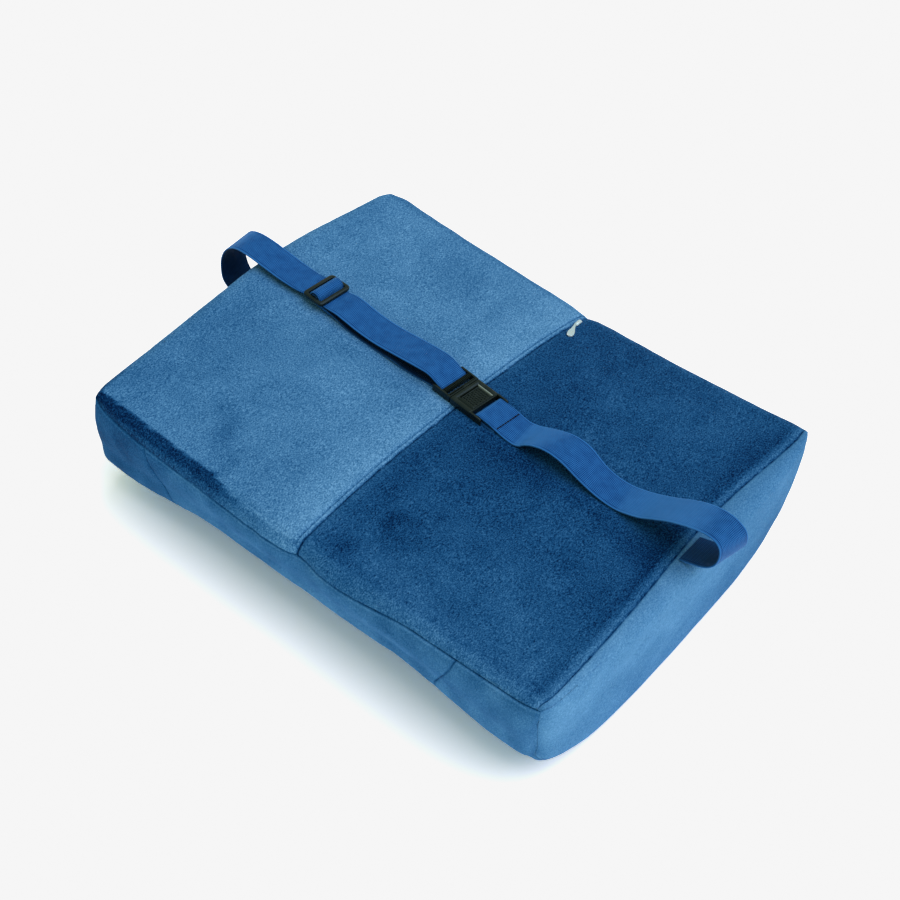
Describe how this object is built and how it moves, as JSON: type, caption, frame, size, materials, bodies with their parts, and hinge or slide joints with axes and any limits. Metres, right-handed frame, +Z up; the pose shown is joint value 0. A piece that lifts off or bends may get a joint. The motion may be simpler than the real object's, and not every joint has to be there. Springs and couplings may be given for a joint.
{
  "type": "back cushion",
  "caption": "Contoured foam back cushion in a zipped plush cover, lying on its front, with an elastic strap that closes with a press buckle and has a slider.",
  "frame": {"origin": "middle of the footprint of the whole, on the surface that it lies on", "axes": "+X along the strap towards the buckle's socket half, +Y across towards the zip's puller, +Z up out of the back face"},
  "size_m": [0.4812, 0.3448, 0.1441],
  "materials": {
    "plush": "short-pile plush, matte with a soft sheen",
    "webbing": "ribbed elastic webbing",
    "black_plastic": "satin moulded plastic",
    "zip_teeth": "pale coil, seen only as glints in the seam",
    "zip_metal": "pale silver-blue paint"
  },
  "bodies": {
    "cushion_body": {"cushion": "plush", "strap_left": "webbing", "strap_right": "webbing", "slider": "black_plastic", "buckle_male": "black_plastic", "buckle_female": "black_plastic", "zip_teeth": "zip_teeth", "zip_slider": "zip_metal", "zip_puller": "zip_metal"},
    "button_body": {"buckle_button": "black_plastic"}
  },
  "joints": [
    {"name": "button_press", "type": "slide", "parent": "cushion_body", "child": "button_body", "axis": [0, 0, -1], "range_m": [0, 0.0012], "stiffness_N_per_m": 800}
  ]
}
